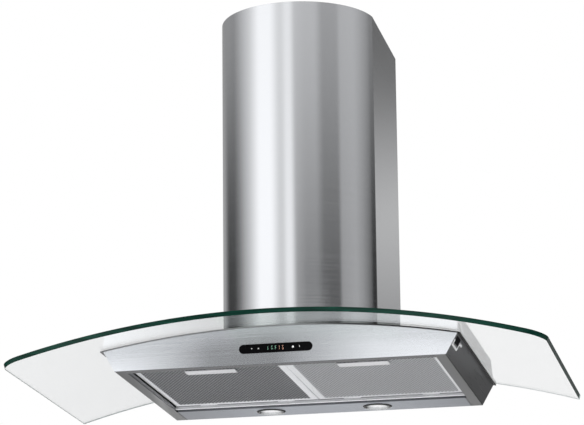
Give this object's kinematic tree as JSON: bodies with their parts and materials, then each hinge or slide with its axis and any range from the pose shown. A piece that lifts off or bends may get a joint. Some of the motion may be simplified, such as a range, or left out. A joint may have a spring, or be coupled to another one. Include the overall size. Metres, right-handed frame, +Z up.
{
  "type": "curved glass range hood",
  "caption": "Wall-mounted chimney range hood with an arched clear glass canopy, brushed steel body, touch control, hinged grease filters, recessed lamps and a telescopic chimney.",
  "frame": {"origin": "middle of the rear bottom edge of the hood body, in the plane of the wall", "axes": "+X to the right as seen by someone facing the hood, +Y into the wall, +Z up"},
  "size_m": [0.9046, 0.52, 0.6558],
  "materials": {
    "stainless": "fine horizontal brushing",
    "galvanised": "plain galvanised sheet",
    "glass": "clear float glass with green edges",
    "gasket_rubber": "matt black",
    "bright_steel": "bright zinc",
    "lens_black": "gloss black",
    "plastic_black": "moulded black",
    "board_green": "solder mask",
    "filter_aluminium": "bright rolled aluminium",
    "filter_mesh": "expanded aluminium mesh",
    "latch_aluminium": "satin",
    "lamp_chrome": "polished",
    "lamp_glass": "clear pressed glass",
    "lamp_can": "pressed can",
    "plastic_white": "moulded white",
    "plastic_grey": "moulded grey",
    "motor_steel": "dark grey"
  },
  "bodies": {
    "hood": {"blower_case": "galvanised", "blower_frame": "galvanised", "cable_gland": "plastic_black", "capacitor": "motor_steel", "chimney_bracket": "galvanised", "chimney_feet": "galvanised", "chimney_glides": "plastic_black", "chimney_lower": "stainless", "clamp_bolts": "bright_steel", "clamp_nuts": "bright_steel", "control_board": "board_green", "control_carrier": "plastic_black", "control_lens": "lens_black", "corner_clips": "bright_steel", "damper_pins": "bright_steel", "display_module": "plastic_black", "filter_rail": "filter_aluminium", "front_fascia": "stainless", "glass_bushes": "plastic_white", "glass_canopy": "glass", "glass_gasket": "gasket_rubber", "junction_box": "plastic_white", "junction_lid": "plastic_white", "lamp_bezel_left": "lamp_chrome", "lamp_bezel_right": "lamp_chrome", "lamp_bulb_left": "lamp_glass", "lamp_bulb_right": "lamp_glass", "lamp_housing_left": "lamp_can", "lamp_housing_right": "lamp_can", "lamp_leads": "plastic_white", "lamp_lens_left": "lamp_glass", "lamp_lens_right": "lamp_glass", "lamp_panel": "stainless", "lamp_transformer": "plastic_white", "middle_rail": "galvanised", "motor": "motor_steel", "motor_bracket": "galvanised", "motor_grommets": "gasket_rubber", "mount_plates": "galvanised", "outlet_collar": "plastic_grey", "pan_screws": "bright_steel", "rear_panel": "galvanised", "scroll_housing": "plastic_grey", "side_panel_left": "stainless", "side_panel_right": "stainless", "top_plate": "galvanised", "touch_springs": "bright_steel"},
    "filter_left": {"filter_frame_left": "filter_aluminium", "filter_mesh_left": "filter_mesh", "latch_spring_left": "bright_steel"},
    "filter_right": {"filter_frame_right": "filter_aluminium", "filter_mesh_right": "filter_mesh", "latch_spring_right": "bright_steel"},
    "latch_slider_left": {"latch_left": "latch_aluminium"},
    "latch_slider_right": {"latch_right": "latch_aluminium"},
    "fan_wheel": {"impeller": "plastic_grey", "motor_shaft": "bright_steel"},
    "flap_left": {"damper_flap_left": "plastic_grey"},
    "flap_right": {"damper_flap_right": "plastic_grey"},
    "upper_chimney": {"chimney_upper": "stainless"}
  },
  "joints": [
    {"name": "filter_left_tilt", "type": "hinge", "parent": "hood", "child": "filter_left", "pos_m": [-0.129, -0.0825, 0.01], "axis": [1, 0, 0], "range_deg": [0, 60]},
    {"name": "filter_right_tilt", "type": "hinge", "parent": "hood", "child": "filter_right", "pos_m": [0.129, -0.0825, 0.01], "axis": [1, 0, 0], "range_deg": [0, 60]},
    {"name": "latch_left_slide", "type": "slide", "parent": "filter_left", "child": "latch_slider_left", "axis": [0, 1, 0], "range_m": [0, 0.006], "stiffness_N_per_m": 400, "springref_m": -0.004, "deforming": ["latch_spring_left"]},
    {"name": "latch_right_slide", "type": "slide", "parent": "filter_right", "child": "latch_slider_right", "axis": [0, 1, 0], "range_m": [0, 0.006], "stiffness_N_per_m": 400, "springref_m": -0.004, "deforming": ["latch_spring_right"]},
    {"name": "fan_spin", "type": "hinge", "parent": "hood", "child": "fan_wheel", "pos_m": [0, -0.15, 0.185], "axis": [1, 0, 0], "continuous": true},
    {"name": "flap_left_lift", "type": "hinge", "parent": "hood", "child": "flap_left", "pos_m": [-0.0045, -0.2, 0.35], "axis": [0, 1, 0], "range_deg": [0, 80]},
    {"name": "flap_right_lift", "type": "hinge", "parent": "hood", "child": "flap_right", "pos_m": [0.0045, -0.2, 0.35], "axis": [0, -1, 0], "range_deg": [0, 80]},
    {"name": "chimney_extend", "type": "slide", "parent": "hood", "child": "upper_chimney", "axis": [0, 0, 1], "range_m": [0, 0.3]}
  ]
}
